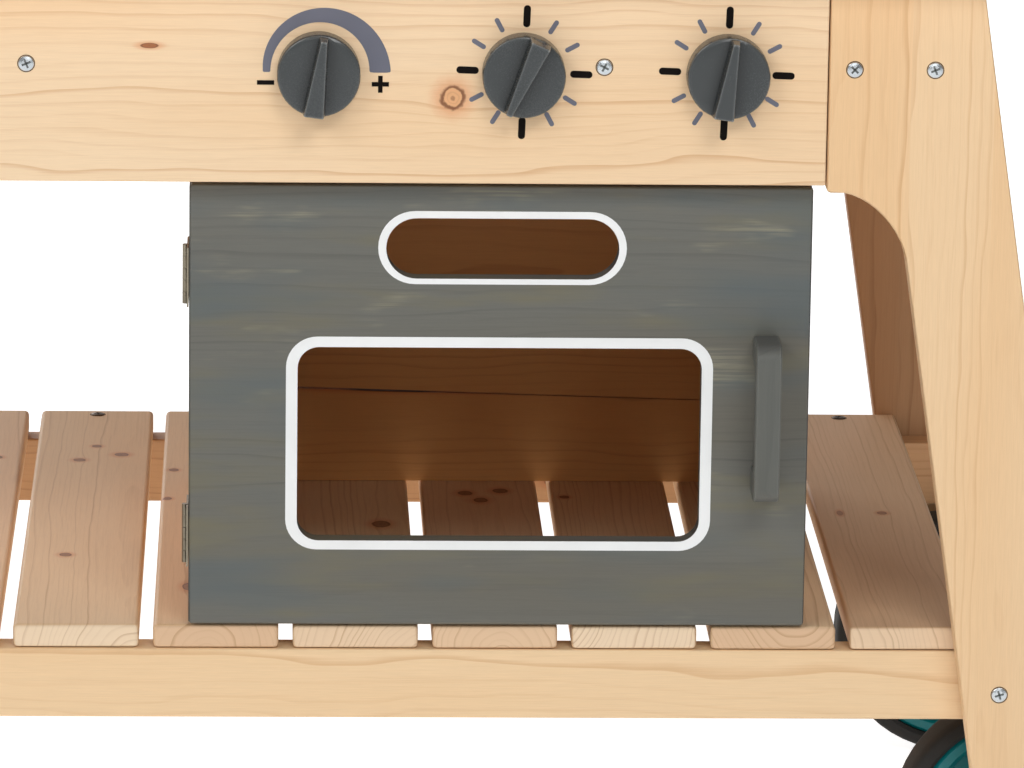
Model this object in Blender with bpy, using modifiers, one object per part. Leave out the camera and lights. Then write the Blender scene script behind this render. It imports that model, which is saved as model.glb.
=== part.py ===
"""Wooden outdoor play kitchen on two wheels: one named object per physical piece, in metres, front facing -Y."""

import math

import bmesh
import bpy
from mathutils import Matrix, Vector

# Driving dimensions, in millimetres: X from the middle, Y back from the lower rail's front face, Z above the floor.
GAP = 0.3
DEPTH = 507.0
BOARD = 18.0
SHELF_TOP = 204.0
SLAT_WIDTH, SLAT_PITCH, SLAT_THICK, SLAT_COUNT = 70.0, 78.0, 13.5, 11
RAIL_THICK, LOWER_RAIL_HIGH, LOWER_RAIL_HALF = 21.0, 40.0, 470.0
UPPER_RAIL_HALF, UPPER_RAIL_BOTTOM = 392.0, 500.0
FRAME_TOP = 585.0
FASCIA_HALF, FASCIA_BOTTOM = 333.7, 460.0
HEAD_BOTTOM, LEG_WIDTH, LEG_SPLAY, LEG_EDGE_AT_SHELF = 456.0, 62.0, 0.151, 411.8
WORKTOP_HALF, WORKTOP_OVERHANG = 445.0, 46.0
OVEN_LEFT, OVEN_RIGHT, OVEN_WALL, OVEN_BACK, OVEN_HIGH = -15.3, 328.5, 12.0, 328.8, 478.3
DOOR_FRONT, DOOR_BACK, DOOR_BOTTOM, DOOR_TOP = -3.0, 9.0, 205.4, 455.6
HINGE_X, HINGE_Y, HINGE_R, HINGE_HIGH = -17.4, 9.3, 1.7, 33.5
HINGE_BOTTOMS = {"lower": 238.0, "upper": 386.0}
KNOB_XS, KNOB_Z, KNOB_R, KNOB_DEEP = (55.2, 167.0, 278.6), 522.0, 22.7, 14.0
KNOB_TURNS = (-7.5, 156.0, -8.5)
AXLE_Z, AXLE_R, BORE_R = 76.0, 5.0, 5.3
WHEEL_R, RIM_R, WHEEL_INSET = 76.0, 65.7, 47.5
BASIN_X, BASIN_Y, BASIN_HALF, BASIN_FLOOR = -190.0, 235.0, (146.0, 111.0), 520.0
TAP_Y = 452.0
BAR_R, BAR_Z = 14.0, 525.0

SPRUCE = (0.80, 0.60, 0.38)
CEDAR = (0.62, 0.43, 0.27)
STAIN = (0.14, 0.15, 0.14)
PLASTIC = (0.07, 0.08, 0.085)
STEEL = (0.62, 0.62, 0.60)
BLACK = (0.02, 0.02, 0.02)
TEAL = (0.01, 0.10, 0.11)

parts = None
cutters = None


def start():
    """Clears the scene and makes one collection for the parts and one for the cutters."""
    global parts, cutters
    for obj in list(bpy.data.objects):
        bpy.data.objects.remove(obj, do_unlink=True)
    parts = bpy.data.collections.new("play_kitchen")
    cutters = bpy.data.collections.new("cutters")
    for collection in (parts, cutters):
        bpy.context.scene.collection.children.link(collection)
    cutters.hide_render = True


def world(x, y, z):
    """Millimetres in the drawing's frame to metres in the world, with the depth centred on the origin."""
    return Vector((x, y - DEPTH / 2, z)) / 1000


def leg_edge(z):
    """X of a right leg's inner edge at height z."""
    return LEG_EDGE_AT_SHELF + LEG_SPLAY * (SHELF_TOP - z)


AXLE_X = leg_edge(AXLE_Z) + LEG_WIDTH / 2
BAR_X = -512.7


def colour(obj, rgb, metallic=0.0, rough=0.5):
    material = bpy.data.materials.new(obj.name)
    material.use_nodes = True
    shader = material.node_tree.nodes["Principled BSDF"]
    shader.inputs["Base Color"].default_value = (*rgb, 1)
    shader.inputs["Metallic"].default_value = metallic
    shader.inputs["Roughness"].default_value = rough
    obj.data.materials.append(material)


def add(name, bm, rgb, metallic=0.0, rough=0.5):
    """Makes a part of a bmesh; without a colour it's a helper that isn't rendered."""
    bmesh.ops.recalc_face_normals(bm, faces=bm.faces)
    mesh = bpy.data.meshes.new(name)
    bm.to_mesh(mesh)
    bm.free()
    obj = bpy.data.objects.new(name, mesh)
    if rgb is None:
        cutters.objects.link(obj)
        obj.hide_render = True
        obj.display_type = "WIRE"
    else:
        parts.objects.link(obj)
        colour(obj, rgb, metallic, rough)
    return obj


def soften(obj, width, segments=2):
    """Rounds the sharp edges by width millimetres."""
    bevel = obj.modifiers.new("edges", "BEVEL")
    bevel.width = width / 1000
    bevel.segments = segments
    bevel.limit_method = "ANGLE"
    bevel.angle_limit = math.radians(40)
    return obj


def combine(obj, other, operation="DIFFERENCE"):
    boolean = obj.modifiers.new(operation.lower(), "BOOLEAN")
    boolean.operation = operation
    boolean.solver = "EXACT"
    boolean.object = other
    return obj


def hang(obj, pivot):
    """Puts the object's origin on its joint axis without moving its shape."""
    obj.data.transform(Matrix.Translation(-pivot) @ obj.matrix_basis)
    obj.matrix_basis = Matrix.Translation(pivot)
    return obj


def block(name, x, y, z, rgb, **look):
    """A box between pairs of X, Y and Z."""
    bm = bmesh.new()
    bmesh.ops.create_cube(bm, size=1)
    low = world(x[0], y[0], z[0])
    high = world(x[1], y[1], z[1])
    for vert in bm.verts:
        vert.co = Vector(low[i] if vert.co[i] < 0 else high[i] for i in range(3))
    return add(name, bm, rgb, **look)


def prism(name, outline, along, span, rgb, **look):
    """A flat outline extruded along X, Y or Z; its two numbers are the other two coordinates in order."""
    slot = "XYZ".index(along)
    bm = bmesh.new()
    ring = []
    for pair in outline:
        point = list(pair)
        point.insert(slot, span[0])
        ring.append(bm.verts.new(world(*point)))
    face = bm.faces.new(ring)
    moved = bmesh.ops.extrude_face_region(bm, geom=[face])["geom"]
    step = [0, 0, 0]
    step[slot] = (span[1] - span[0]) / 1000
    verts = [item for item in moved if isinstance(item, bmesh.types.BMVert)]
    bmesh.ops.translate(bm, verts=verts, vec=step)
    return add(name, bm, rgb, **look)


def cylinder(name, centre, radius, length, along, rgb, segments=32, **look):
    """A plain cylinder about an axis through centre."""
    turn = {"X": Matrix.Rotation(math.pi / 2, 4, "Y"), "Y": Matrix.Rotation(math.pi / 2, 4, "X")}
    place = Matrix.Translation(world(*centre)) @ turn.get(along, Matrix.Identity(4))
    size = {"radius1": radius / 1000, "radius2": radius / 1000, "depth": length / 1000}
    bm = bmesh.new()
    bmesh.ops.create_cone(bm, cap_ends=True, segments=segments, matrix=place, **size)
    return add(name, bm, rgb, **look)


def turned(name, profile, centre, facing, rgb, closed=False, steps=32, **look):
    """A profile of (radius, height) turned about an axis through centre; height runs along facing."""
    mesh = bpy.data.meshes.new(name)
    edges = [(i, i + 1) for i in range(len(profile) - 1)]
    if closed:
        edges.append((len(profile) - 1, 0))
    mesh.from_pydata([(r / 1000, 0, h / 1000) for r, h in profile], edges, [])
    obj = bpy.data.objects.new(name, mesh)
    parts.objects.link(obj)
    turn = Vector((0, 0, 1)).rotation_difference(Vector(facing)).to_matrix().to_4x4()
    obj.matrix_basis = Matrix.Translation(world(*centre)) @ turn
    screw = obj.modifiers.new("turn", "SCREW")
    screw.axis = "Z"
    screw.steps = screw.render_steps = steps
    screw.use_merge_vertices = True
    screw.merge_threshold = 0.00001
    colour(obj, rgb, **look)
    return obj


def arc(centre, radius, start_deg, end_deg, count):
    """Points on a circle from one angle to another."""
    angles = [math.radians(start_deg + (end_deg - start_deg) * i / count) for i in range(count + 1)]
    return [(centre[0] + radius * math.cos(a), centre[1] + radius * math.sin(a)) for a in angles]


def rounded(x, z, radius, count=6):
    """A rectangle between pairs of coordinates with rounded corners, counter-clockwise."""
    corners = ((x[1], z[1], 0), (x[0], z[1], 90), (x[0], z[0], 180), (x[1], z[0], 270))
    points = []
    for cx, cz, turn in corners:
        px = cx - radius if cx == x[1] else cx + radius
        pz = cz - radius if cz == z[1] else cz + radius
        points += arc((px, pz), radius, turn, turn + 90, count)
    return points


def bezier(p0, p1, p2, p3, count):
    """Points on a cubic curve, ends included."""
    found = []
    for i in range(count + 1):
        t = i / count
        weights = ((1 - t) ** 3, 3 * t * (1 - t) ** 2, 3 * t * t * (1 - t), t**3)
        found.append(tuple(sum(w * p[k] for w, p in zip(weights, (p0, p1, p2, p3))) for k in (0, 1)))
    return found


def leg(name, side, y, wheeled):
    """A splayed leg cut from one board, with a wide head beside the fascia; a wheeled one ends round its axle."""
    head = FASCIA_HALF + 0.7
    outline = [(head, FRAME_TOP)]
    outline += arc((head + 2.5, HEAD_BOTTOM + 2.5), 2.5, 180, 270, 3)
    outline += bezier((344, HEAD_BOTTOM), (360, 453), (375, 437), (leg_edge(419), 419), 10)
    if wheeled:
        tilt = math.degrees(math.atan(LEG_SPLAY))
        radius = LEG_WIDTH / 2 * math.cos(math.atan(LEG_SPLAY))
        outline += arc((AXLE_X, AXLE_Z), radius, 180 + tilt, 360 + tilt, 14)
    else:
        outline += [(leg_edge(0), 0), (leg_edge(0) + LEG_WIDTH, 0)]
    outline.append((leg_edge(FRAME_TOP) + LEG_WIDTH, FRAME_TOP))
    obj = prism(name, [(side * x, z) for x, z in outline], "Y", y, SPRUCE)
    soften(obj, 1.0, 1)
    if wheeled:
        middle = (side * AXLE_X, sum(y) / 2, AXLE_Z)
        combine(obj, cylinder(name + "_bore", middle, BORE_R, 60, "Y", None))
    return obj


def make_frame():
    """Legs, rails, aprons and the control fascia."""
    front = (-BOARD - GAP, -GAP)
    rear = (DEPTH + GAP, DEPTH + GAP + BOARD)
    for end, y in (("front", front), ("rear", rear)):
        leg(f"leg_{end}_left", -1, y, False)
        leg(f"leg_{end}_right", 1, y, True)
    for end, y in (("front", (0, RAIL_THICK)), ("rear", (DEPTH - RAIL_THICK, DEPTH))):
        top = SHELF_TOP - SLAT_THICK - GAP
        lower = (top - LOWER_RAIL_HIGH, top)
        half = LOWER_RAIL_HALF
        soften(block(f"lower_rail_{end}", (-half, half), y, lower, SPRUCE), 1.5)
        upper = (UPPER_RAIL_BOTTOM, FRAME_TOP)
        half = UPPER_RAIL_HALF
        soften(block(f"upper_rail_{end}", (-half, half), y, upper, SPRUCE), 1.5)
    inner = UPPER_RAIL_HALF + GAP
    for name, side in (("left", -1), ("right", 1)):
        x = sorted((side * inner, side * (inner + BOARD)))
        soften(block(f"side_apron_{name}", x, (0, DEPTH), (UPPER_RAIL_BOTTOM, FRAME_TOP), SPRUCE), 1.5)
    x = (-FASCIA_HALF, FASCIA_HALF)
    fascia = soften(block("fascia", x, front, (FASCIA_BOTTOM, FRAME_TOP), SPRUCE), 1.0)
    for i, knob_x in enumerate(KNOB_XS):
        bore = cylinder(f"spindle_bore_{i}", (knob_x, -BOARD / 2, KNOB_Z), 4.1, 40, "Y", None, 20)
        combine(fascia, bore)


def make_shelf():
    """Slats laid front to back on the lower rails with drain gaps between them."""
    first = -SLAT_PITCH * (SLAT_COUNT - 1) / 2
    for i in range(SLAT_COUNT):
        middle = first + SLAT_PITCH * i
        x = (middle - SLAT_WIDTH / 2, middle + SLAT_WIDTH / 2)
        slat = block(f"shelf_slat_{i + 1:02d}", x, (0, DEPTH), (SHELF_TOP - SLAT_THICK, SHELF_TOP), CEDAR)
        soften(slat, 2.5)


def make_worktop():
    """The worktop with its basin opening, the splash board and two play burners."""
    y = (-WORKTOP_OVERHANG, DEPTH + WORKTOP_OVERHANG)
    z = (FRAME_TOP + GAP, FRAME_TOP + GAP + BOARD)
    top = prism("worktop", rounded((-WORKTOP_HALF, WORKTOP_HALF), y, 14), "Z", z, SPRUCE)
    soften(top, 1.5)
    half_x, half_y = BASIN_HALF
    x = (BASIN_X - half_x - 4, BASIN_X + half_x + 4)
    y = (BASIN_Y - half_y - 4, BASIN_Y + half_y + 4)
    combine(top, prism("basin_opening", rounded(x, y, 40, 8), "Z", (z[0] - 10, z[1] + 10), None))
    base = z[1] + GAP
    outline = [(400, base), *arc((370, base + 70), 30, 0, 90, 8)]
    outline += [(-x, h) for x, h in reversed(outline)]
    soften(prism("splash_board", outline, "Y", (505, 505 + BOARD), SPRUCE), 1.5)
    for name, x, radius in (("large", 75, 78), ("small", 245, 62)):
        profile = [(0, 5), (radius - 3, 5), (radius - 0.8, 4), (radius, 2.5), (radius, 0), (0, 0)]
        turned(f"burner_{name}", profile, (x, 235, base), (0, 0, 1), BLACK, steps=48)


def basin():
    """A pressed steel basin hanging by its flange: rounded-rectangle rings joined outside and inside."""
    half_x, half_y = BASIN_HALF
    lip = FRAME_TOP + BOARD + 2 * GAP
    floor = BASIN_FLOOR
    rings = [(-34, floor, 6), (-14, floor, 20), (-4, floor + 6, 29), (0, floor + 18, 33), (0, lip, 33)]
    rings += [(12, lip, 30), (12.6, lip + 0.7, 30), (12, lip + 1.5, 30), (2, lip + 1.5, 34)]
    rings += [(-1.3, lip - 1.5, 32), (-1.3, floor + 18.5, 32), (-5, floor + 7.5, 28), (-14.5, floor + 1.5, 20)]
    rings.append((-34, floor + 1.5, 6))
    bm = bmesh.new()
    loops = []
    for grow, z, radius in rings:
        x = (BASIN_X - half_x - grow, BASIN_X + half_x + grow)
        y = (BASIN_Y - half_y - grow, BASIN_Y + half_y + grow)
        loops.append([bm.verts.new(world(px, py, z)) for px, py in rounded(x, y, radius, 6)])
    for a, b in zip(loops, loops[1:]):
        for i in range(len(a)):
            j = (i + 1) % len(a)
            bm.faces.new((a[i], a[j], b[j], b[i]))
    bm.faces.new(loops[0])
    bm.faces.new(loops[-1])
    hang(add("basin", bm, STEEL, metallic=1.0, rough=0.3), world(BASIN_X, BASIN_Y, lip))


def tap():
    """A short column with a swivelling spout and a turning handle above it on the same spigot."""
    base = FRAME_TOP + BOARD + 2 * GAP
    foot = [(0, 70), (5.5, 70), (6, 69.5), (6, 30), (12, 30), (13, 29), (13, 8), (19, 5), (20, 3), (20, 0), (0, 0)]
    turned("tap_column", foot, (BASIN_X, TAP_Y, base), (0, 0, 1), STEEL, metallic=1.0, rough=0.25)
    collar = [(13, 28), (14, 27), (14, 1), (13, 0), (6.3, 0), (6.3, 28)]
    spout = turned("tap_spout", collar, (BASIN_X, TAP_Y, base + 30.3), (0, 0, 1), STEEL, closed=True,
                   metallic=1.0, rough=0.25)
    path = [(9, 0), (40, 6), (85, 12), (102, 12), (112, 7), (117, -2), (118, -14)]
    curve = bpy.data.curves.new("spout_pipe", "CURVE")
    curve.dimensions = "3D"
    curve.bevel_depth = 0.007
    curve.bevel_resolution = 3
    curve.use_fill_caps = True
    line = curve.splines.new("POLY")
    line.points.add(len(path) - 1)
    for point, (ahead, up) in zip(line.points, path):
        point.co = (*world(BASIN_X, TAP_Y - ahead, base + 44 + up), 1)
    pipe = bpy.data.objects.new("spout_pipe", curve)
    bpy.context.scene.collection.objects.link(pipe)
    bpy.context.view_layer.update()
    bm = bmesh.new()
    bm.from_mesh(bpy.data.meshes.new_from_object(pipe.evaluated_get(bpy.context.evaluated_depsgraph_get())))
    bmesh.ops.remove_doubles(bm, verts=bm.verts, dist=0.00001)
    bpy.data.objects.remove(pipe)
    combine(spout, add("spout_tube", bm, None), "UNION")
    shape = [(0, 22), (9, 22), (12, 20), (13.5, 17), (13.5, 1), (12.8, 0), (6.3, 0), (6.3, 12), (0, 12)]
    handle = turned("tap_handle", shape, (BASIN_X, TAP_Y, base + 58.6), (0, 0, 1), STEEL, metallic=1.0, rough=0.25)
    lever = prism("lever_blade", rounded((BASIN_X + 8, BASIN_X + 62), (TAP_Y - 6, TAP_Y + 6), 5.9, 5), "Z",
                  (base + 70, base + 75), None)
    combine(handle, lever, "UNION")


def make_oven():
    """The oven box: two side walls, two back boards with a drying crack between them, and a top."""
    front = HINGE_Y + GAP
    z = (SHELF_TOP + GAP, OVEN_HIGH)
    for name, x in (("left", (OVEN_LEFT, OVEN_LEFT + OVEN_WALL)), ("right", (OVEN_RIGHT - OVEN_WALL, OVEN_RIGHT))):
        soften(block(f"oven_wall_{name}", x, (front, OVEN_BACK - GAP), z, CEDAR), 1.0, 1)
    back = (OVEN_BACK, OVEN_BACK + OVEN_WALL)
    seam = (263.0, 254.0)
    lower = [(OVEN_LEFT, z[0]), (OVEN_RIGHT, z[0]), (OVEN_RIGHT, seam[1]), (OVEN_LEFT, seam[0])]
    upper = [(OVEN_LEFT, seam[0] + 1.2), (OVEN_RIGHT, seam[1] + 0.5), (OVEN_RIGHT, z[1]), (OVEN_LEFT, z[1])]
    prism("oven_back_lower", lower, "Y", back, CEDAR)
    prism("oven_back_upper", upper, "Y", back, CEDAR)
    lid = (OVEN_HIGH + GAP, OVEN_HIGH + GAP + OVEN_WALL)
    soften(block("oven_top", (OVEN_LEFT, OVEN_RIGHT), (front + 12, back[1]), lid, CEDAR), 1.0, 1)
    x = (OVEN_RIGHT - OVEN_WALL - GAP - 16, OVEN_RIGHT - OVEN_WALL - GAP)
    soften(block("catch_magnet", x, (12, 32), (424, 446), BLACK), 1.0, 1)


def make_door():
    """The oven door with its window and slot, the pull, the hinges and the keeper of the magnet."""
    axis = world(HINGE_X, HINGE_Y, DOOR_BOTTOM)
    door = prism("oven_door", rounded((OVEN_LEFT, OVEN_RIGHT), (DOOR_BOTTOM, DOOR_TOP), 1.5, 2), "Y",
                 (DOOR_FRONT, DOOR_BACK), STAIN)
    soften(door, 1.0, 1)
    through = (DOOR_FRONT - 10, DOOR_BACK + 10)
    combine(door, prism("window_cut", rounded((44.8, 268.8), (253.8, 364.3), 12, 8), "Y", through, None))
    combine(door, prism("slot_cut", rounded((93.2, 221.9), (403.3, 437.4), 17, 10), "Y", through, None))
    hang(door, axis)
    face, front = DOOR_FRONT - GAP, DOOR_FRONT - 31
    low, high = 283.0, 372.2
    outline = [(face, low), *arc((front + 9, low + 9), 9, 270, 180, 6), *arc((front + 9, high - 9), 9, 180, 90, 6)]
    outline += [(face, high), (face, high - 15), *arc((front + 17, high - 21), 6, 90, 180, 4)]
    outline += [*arc((front + 17, low + 21), 6, 180, 270, 4), (face, low + 15)]
    pull = prism("door_pull", outline, "X", (297, 311), STAIN)
    hang(soften(pull, 0.8, 1), axis)
    keeper = block("catch_keeper", (OVEN_RIGHT - 27, OVEN_RIGHT - 14), (DOOR_BACK + GAP, DOOR_BACK + 1.8),
                   (426, 444), STEEL, metallic=1.0)
    hang(keeper, axis)
    for name, bottom in HINGE_BOTTOMS.items():
        hinge(name, bottom, axis)


def hinge(name, bottom, axis):
    """A butt hinge of five knuckles: the fixed leaf carries three and the pin, the moving leaf two."""
    leaf_x = (OVEN_LEFT - GAP - 1.0, OVEN_LEFT - GAP)
    knuckle = HINGE_HIGH / 5
    whole = (bottom, bottom + HINGE_HIGH)
    fixed = block(f"hinge_fixed_{name}", leaf_x, (HINGE_Y - 0.2, HINGE_Y + 20), whole, STEEL, metallic=1.0)
    moving = block(f"hinge_moving_{name}", leaf_x, (DOOR_FRONT + 1.5, HINGE_Y + 0.2), whole, STEEL, metallic=1.0)
    for i in range(5):
        middle = (HINGE_X, HINGE_Y, bottom + knuckle * (i + 0.5))
        own, other = (fixed, moving) if i % 2 == 0 else (moving, fixed)
        clear = (HINGE_X - 4, OVEN_LEFT), (HINGE_Y - 2.6, HINGE_Y + 2.6)
        span = (middle[2] - knuckle / 2 - GAP / 2, middle[2] + knuckle / 2 + GAP / 2)
        combine(other, block(f"clear_{name}_{i}", *clear, span, None))
        length = knuckle - (0 if i in (0, 4) else GAP)
        combine(own, cylinder(f"knuckle_{name}_{i}", middle, HINGE_R, length, "Z", None, 16), "UNION")
    middle = (HINGE_X, HINGE_Y, bottom + HINGE_HIGH / 2)
    combine(fixed, cylinder(f"pin_{name}", middle, 0.8, HINGE_HIGH - 2, "Z", None, 12), "UNION")
    combine(moving, cylinder(f"pin_bore_{name}", middle, 1.1, HINGE_HIGH + 2, "Z", None, 12))
    hang(moving, axis)


def make_knobs():
    """Three turning knobs: a disc with a tapered grip across it and a spindle into the fascia."""
    high = KNOB_DEEP
    profile = [(0, high), (KNOB_R - 1.6, high), (KNOB_R - 0.5, high - 0.6), (KNOB_R, high - 1.8), (KNOB_R, 1)]
    profile += [(KNOB_R - 0.5, 0), (3.8, 0), (3.8, -16), (0, -16)]
    for i, (x, turn) in enumerate(zip(KNOB_XS, KNOB_TURNS)):
        centre = (x, -BOARD - 2 * GAP, KNOB_Z)
        knob = turned(f"knob_{i + 1}", profile, centre, (0, -1, 0), PLASTIC, steps=48, rough=0.35)
        bm = bmesh.new()
        bmesh.ops.create_cube(bm, size=2)
        for vert in bm.verts:
            side, end, front = vert.co
            half = (5.5 if end < 0 else 1.75) + (0 if front > 0 else 1.0)
            ahead = high + 11 if front > 0 else high - 2
            vert.co = Vector((side * half, -ahead, end * (21.2 if front > 0 else 21.9))) / 1000
        bmesh.ops.rotate(bm, verts=bm.verts, cent=(0, 0, 0), matrix=Matrix.Rotation(math.radians(-turn), 3, "Y"))
        bmesh.ops.translate(bm, verts=bm.verts, vec=world(*centre))
        combine(knob, soften(add(f"grip_{i + 1}", bm, None), 0.8), "UNION")


def make_wheels():
    """Two wheels on one axle between the right-hand legs, with spacers, collars and end caps."""
    middle = DEPTH / 2
    steel = {"metallic": 1.0, "rough": 0.35}
    cylinder("axle", (AXLE_X, middle, AXLE_Z), AXLE_R, DEPTH + 46, "Y", STEEL, 24, **steel)
    crown = [(WHEEL_R - 8, 17), (WHEEL_R - 3, 16), (WHEEL_R - 0.8, 13.5), (WHEEL_R, 8)]
    tyre = crown + [(r, -y) for r, y in reversed(crown)] + [(RIM_R + GAP, -15.5), (RIM_R + GAP, 15.5)]
    half = [(RIM_R - 2, 15), (RIM_R, 13)]
    face = [(13, 18), (15, 6), (22, 4), (54, 5), (57, 12), (59, 15)]
    rim = half + [(r, -h) for r, h in reversed(half)]
    rim += [(r, -h) for r, h in reversed(face)] + [(BORE_R, -18), (BORE_R, 18)] + face
    cap = [(0, 9), (5, 8.4), (8.5, 6), (9.5, 3), (9.5, 0), (BORE_R, 0), (BORE_R, 6), (0, 6)]
    for name, side in (("front", -1), ("rear", 1)):
        y = middle + side * (middle - WHEEL_INSET)
        out = (0, side, 0)
        turned(f"tyre_{name}", tyre, (AXLE_X, y, AXLE_Z), out, BLACK, closed=True, steps=56, rough=0.8)
        disc = turned(f"rim_{name}", rim, (AXLE_X, y, AXLE_Z), out, TEAL, closed=True, steps=48)
        for i in range(6):
            a = math.radians(60 * i + 30)
            centre = (AXLE_X + 36 * math.cos(a), y, AXLE_Z + 36 * math.sin(a))
            combine(disc, cylinder(f"rim_hole_{name}_{i}", centre, 9, 30, "Y", None, 20))
        for kind, near, far in (("spacer", 0.0, 29.2), ("collar", 65.8, 73.8)):
            ring = [(9, far), (9, near), (BORE_R, near), (BORE_R, far)]
            inward = (0, -side, 0)
            edge = middle + side * middle
            turned(f"axle_{kind}_{name}", ring, (AXLE_X, edge, AXLE_Z), inward, STEEL, closed=True, steps=24, **steel)
        face_y = middle + side * (middle + BOARD + 2 * GAP)
        turned(f"axle_cap_{name}", cap, (AXLE_X, face_y, AXLE_Z), out, BLACK, steps=24)


def make_carry_bar():
    """The round lifting bar at the end away from the wheels, held in two bored brackets."""
    root = -UPPER_RAIL_HALF - 2 * GAP - BOARD
    centre = (BAR_X, BAR_Z)
    for name, y in (("front", (80, 98)), ("rear", (DEPTH - 98, DEPTH - 80))):
        outline = [(root, BAR_Z + 30), *arc(centre, 22, 90, 270, 12), (root, BAR_Z - 22)]
        bracket = soften(prism(f"bar_bracket_{name}", outline, "Y", y, SPRUCE), 1.2, 1)
        bore = cylinder(f"bar_bore_{name}", (centre[0], sum(y) / 2, BAR_Z), BAR_R + GAP, 50, "Y", None, 32)
        combine(bracket, bore)
    bar = cylinder("carry_bar", (centre[0], DEPTH / 2, BAR_Z), BAR_R, DEPTH - 130, "Y", SPRUCE, 28)
    soften(bar, 2)


start()
make_frame()
make_shelf()
make_worktop()
basin()
tap()
make_oven()
make_door()
make_knobs()
make_wheels()
make_carry_bar()
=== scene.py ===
import math

import bmesh
import bpy
from mathutils import Matrix, Vector


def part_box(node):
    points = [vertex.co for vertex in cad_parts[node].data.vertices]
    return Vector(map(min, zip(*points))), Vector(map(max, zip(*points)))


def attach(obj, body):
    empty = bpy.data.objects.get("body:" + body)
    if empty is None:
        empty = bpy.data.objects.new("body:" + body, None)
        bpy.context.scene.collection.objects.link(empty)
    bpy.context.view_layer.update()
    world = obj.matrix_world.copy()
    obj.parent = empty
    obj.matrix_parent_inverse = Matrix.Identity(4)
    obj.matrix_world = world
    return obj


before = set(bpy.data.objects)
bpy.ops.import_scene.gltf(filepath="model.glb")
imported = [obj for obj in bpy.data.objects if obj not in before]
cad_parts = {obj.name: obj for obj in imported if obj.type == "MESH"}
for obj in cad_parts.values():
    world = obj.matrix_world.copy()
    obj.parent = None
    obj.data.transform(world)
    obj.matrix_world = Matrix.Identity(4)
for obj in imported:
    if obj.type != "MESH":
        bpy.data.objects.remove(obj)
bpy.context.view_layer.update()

# ----------------------------------------------------------------------------------------------------------
# Lower frame: two long rails with a splayed leg at each corner.
# Planed spruce, pale with fine orange grain lines, clear oiled; the legs are glued from upright strips.
# The rails go inside the legs and are screwed through them.
MM = 0.001


def rgb(r, g, b):
    """An 8-bit display colour as linear light with alpha."""
    linear = ((c / 255 / 12.92) if c <= 10 else ((c / 255 + 0.055) / 1.055) ** 2.4 for c in (r, g, b))
    return (*linear, 1.0)


def put(tree, socket, value):
    """Links a socket to an input, or sets the input to a plain value."""
    if isinstance(value, bpy.types.NodeSocket):
        tree.links.new(value, socket)
    else:
        socket.default_value = value


def calc(tree, operation, *values):
    node = tree.nodes.new("ShaderNodeMath")
    node.operation = operation
    for socket, value in zip(node.inputs, values):
        put(tree, socket, value)
    return node.outputs[0]


def vcalc(tree, operation, *values):
    node = tree.nodes.new("ShaderNodeVectorMath")
    node.operation = operation
    if operation == "SCALE":
        put(tree, node.inputs[0], values[0])
        put(tree, node.inputs["Scale"], values[1])
        return node.outputs[0]
    for socket, value in zip(node.inputs, values):
        put(tree, socket, value)
    return node.outputs["Value"] if operation in ("LENGTH", "DISTANCE", "DOT_PRODUCT") else node.outputs[0]


def smooth(tree, value, low, high):
    """0 below low, 1 above high, eased between; falls instead when low is above high."""
    node = tree.nodes.new("ShaderNodeMapRange")
    node.interpolation_type = "SMOOTHSTEP"
    falling = isinstance(low, float) and isinstance(high, float) and low > high
    first, last = (high, low) if falling else (low, high)
    for name, number in (("Value", value), ("From Min", first), ("From Max", last),
                         ("To Min", 1.0 if falling else 0.0), ("To Max", 0.0 if falling else 1.0)):
        put(tree, node.inputs[name], number)
    return node.outputs[0]


def mix(tree, factor, a, b, blend="MIX"):
    node = tree.nodes.new("ShaderNodeMix")
    node.data_type = "RGBA"
    node.blend_type = blend
    put(tree, node.inputs[0], factor)
    put(tree, node.inputs[6], a)
    put(tree, node.inputs[7], b)
    return node.outputs[2]


def noise(tree, vector, stretch, seed=0.0, detail=2.0, rough=0.5):
    """Noise of a vector stretched by three factors; gives the value and three-way colour sockets."""
    node = tree.nodes.new("ShaderNodeTexNoise")
    scale = tree.nodes.new("ShaderNodeVectorMath")
    scale.operation = "MULTIPLY_ADD"
    for socket, value in zip(scale.inputs, (vector, stretch, (seed * 3.7, seed * 5.3, seed * 7.9))):
        put(tree, socket, value)
    put(tree, node.inputs["Vector"], scale.outputs[0])
    put(tree, node.inputs["Scale"], 1.0)
    put(tree, node.inputs["Detail"], detail)
    put(tree, node.inputs["Roughness"], rough)
    return node.outputs[0], node.outputs[1]


def hash_of(tree, value):
    """A random number, and three of them, for each value."""
    node = tree.nodes.new("ShaderNodeTexWhiteNoise")
    node.noise_dimensions = "1D"
    put(tree, node.inputs["W"], value)
    return node.outputs["Value"], node.outputs["Color"]


def apart(tree, vector):
    node = tree.nodes.new("ShaderNodeSeparateXYZ")
    put(tree, node.inputs[0], vector)
    return node.outputs


def together(tree, x, y, z):
    node = tree.nodes.new("ShaderNodeCombineXYZ")
    for socket, value in zip(node.inputs, (x, y, z)):
        put(tree, socket, value)
    return node.outputs[0]


def new_group(name, inputs, outputs):
    """A node group with typed inputs and outputs."""
    tree = bpy.data.node_groups.new(name, "ShaderNodeTree")
    for side, sockets in (("INPUT", inputs), ("OUTPUT", outputs)):
        for label, kind in sockets:
            tree.interface.new_socket(label, in_out=side, socket_type="NodeSocket" + kind)
    return tree, tree.nodes.new("NodeGroupInput").outputs, tree.nodes.new("NodeGroupOutput").inputs


# beyond any board, so strips are counted from there and a wider strip means one piece
FAR = 1000.0


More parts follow.
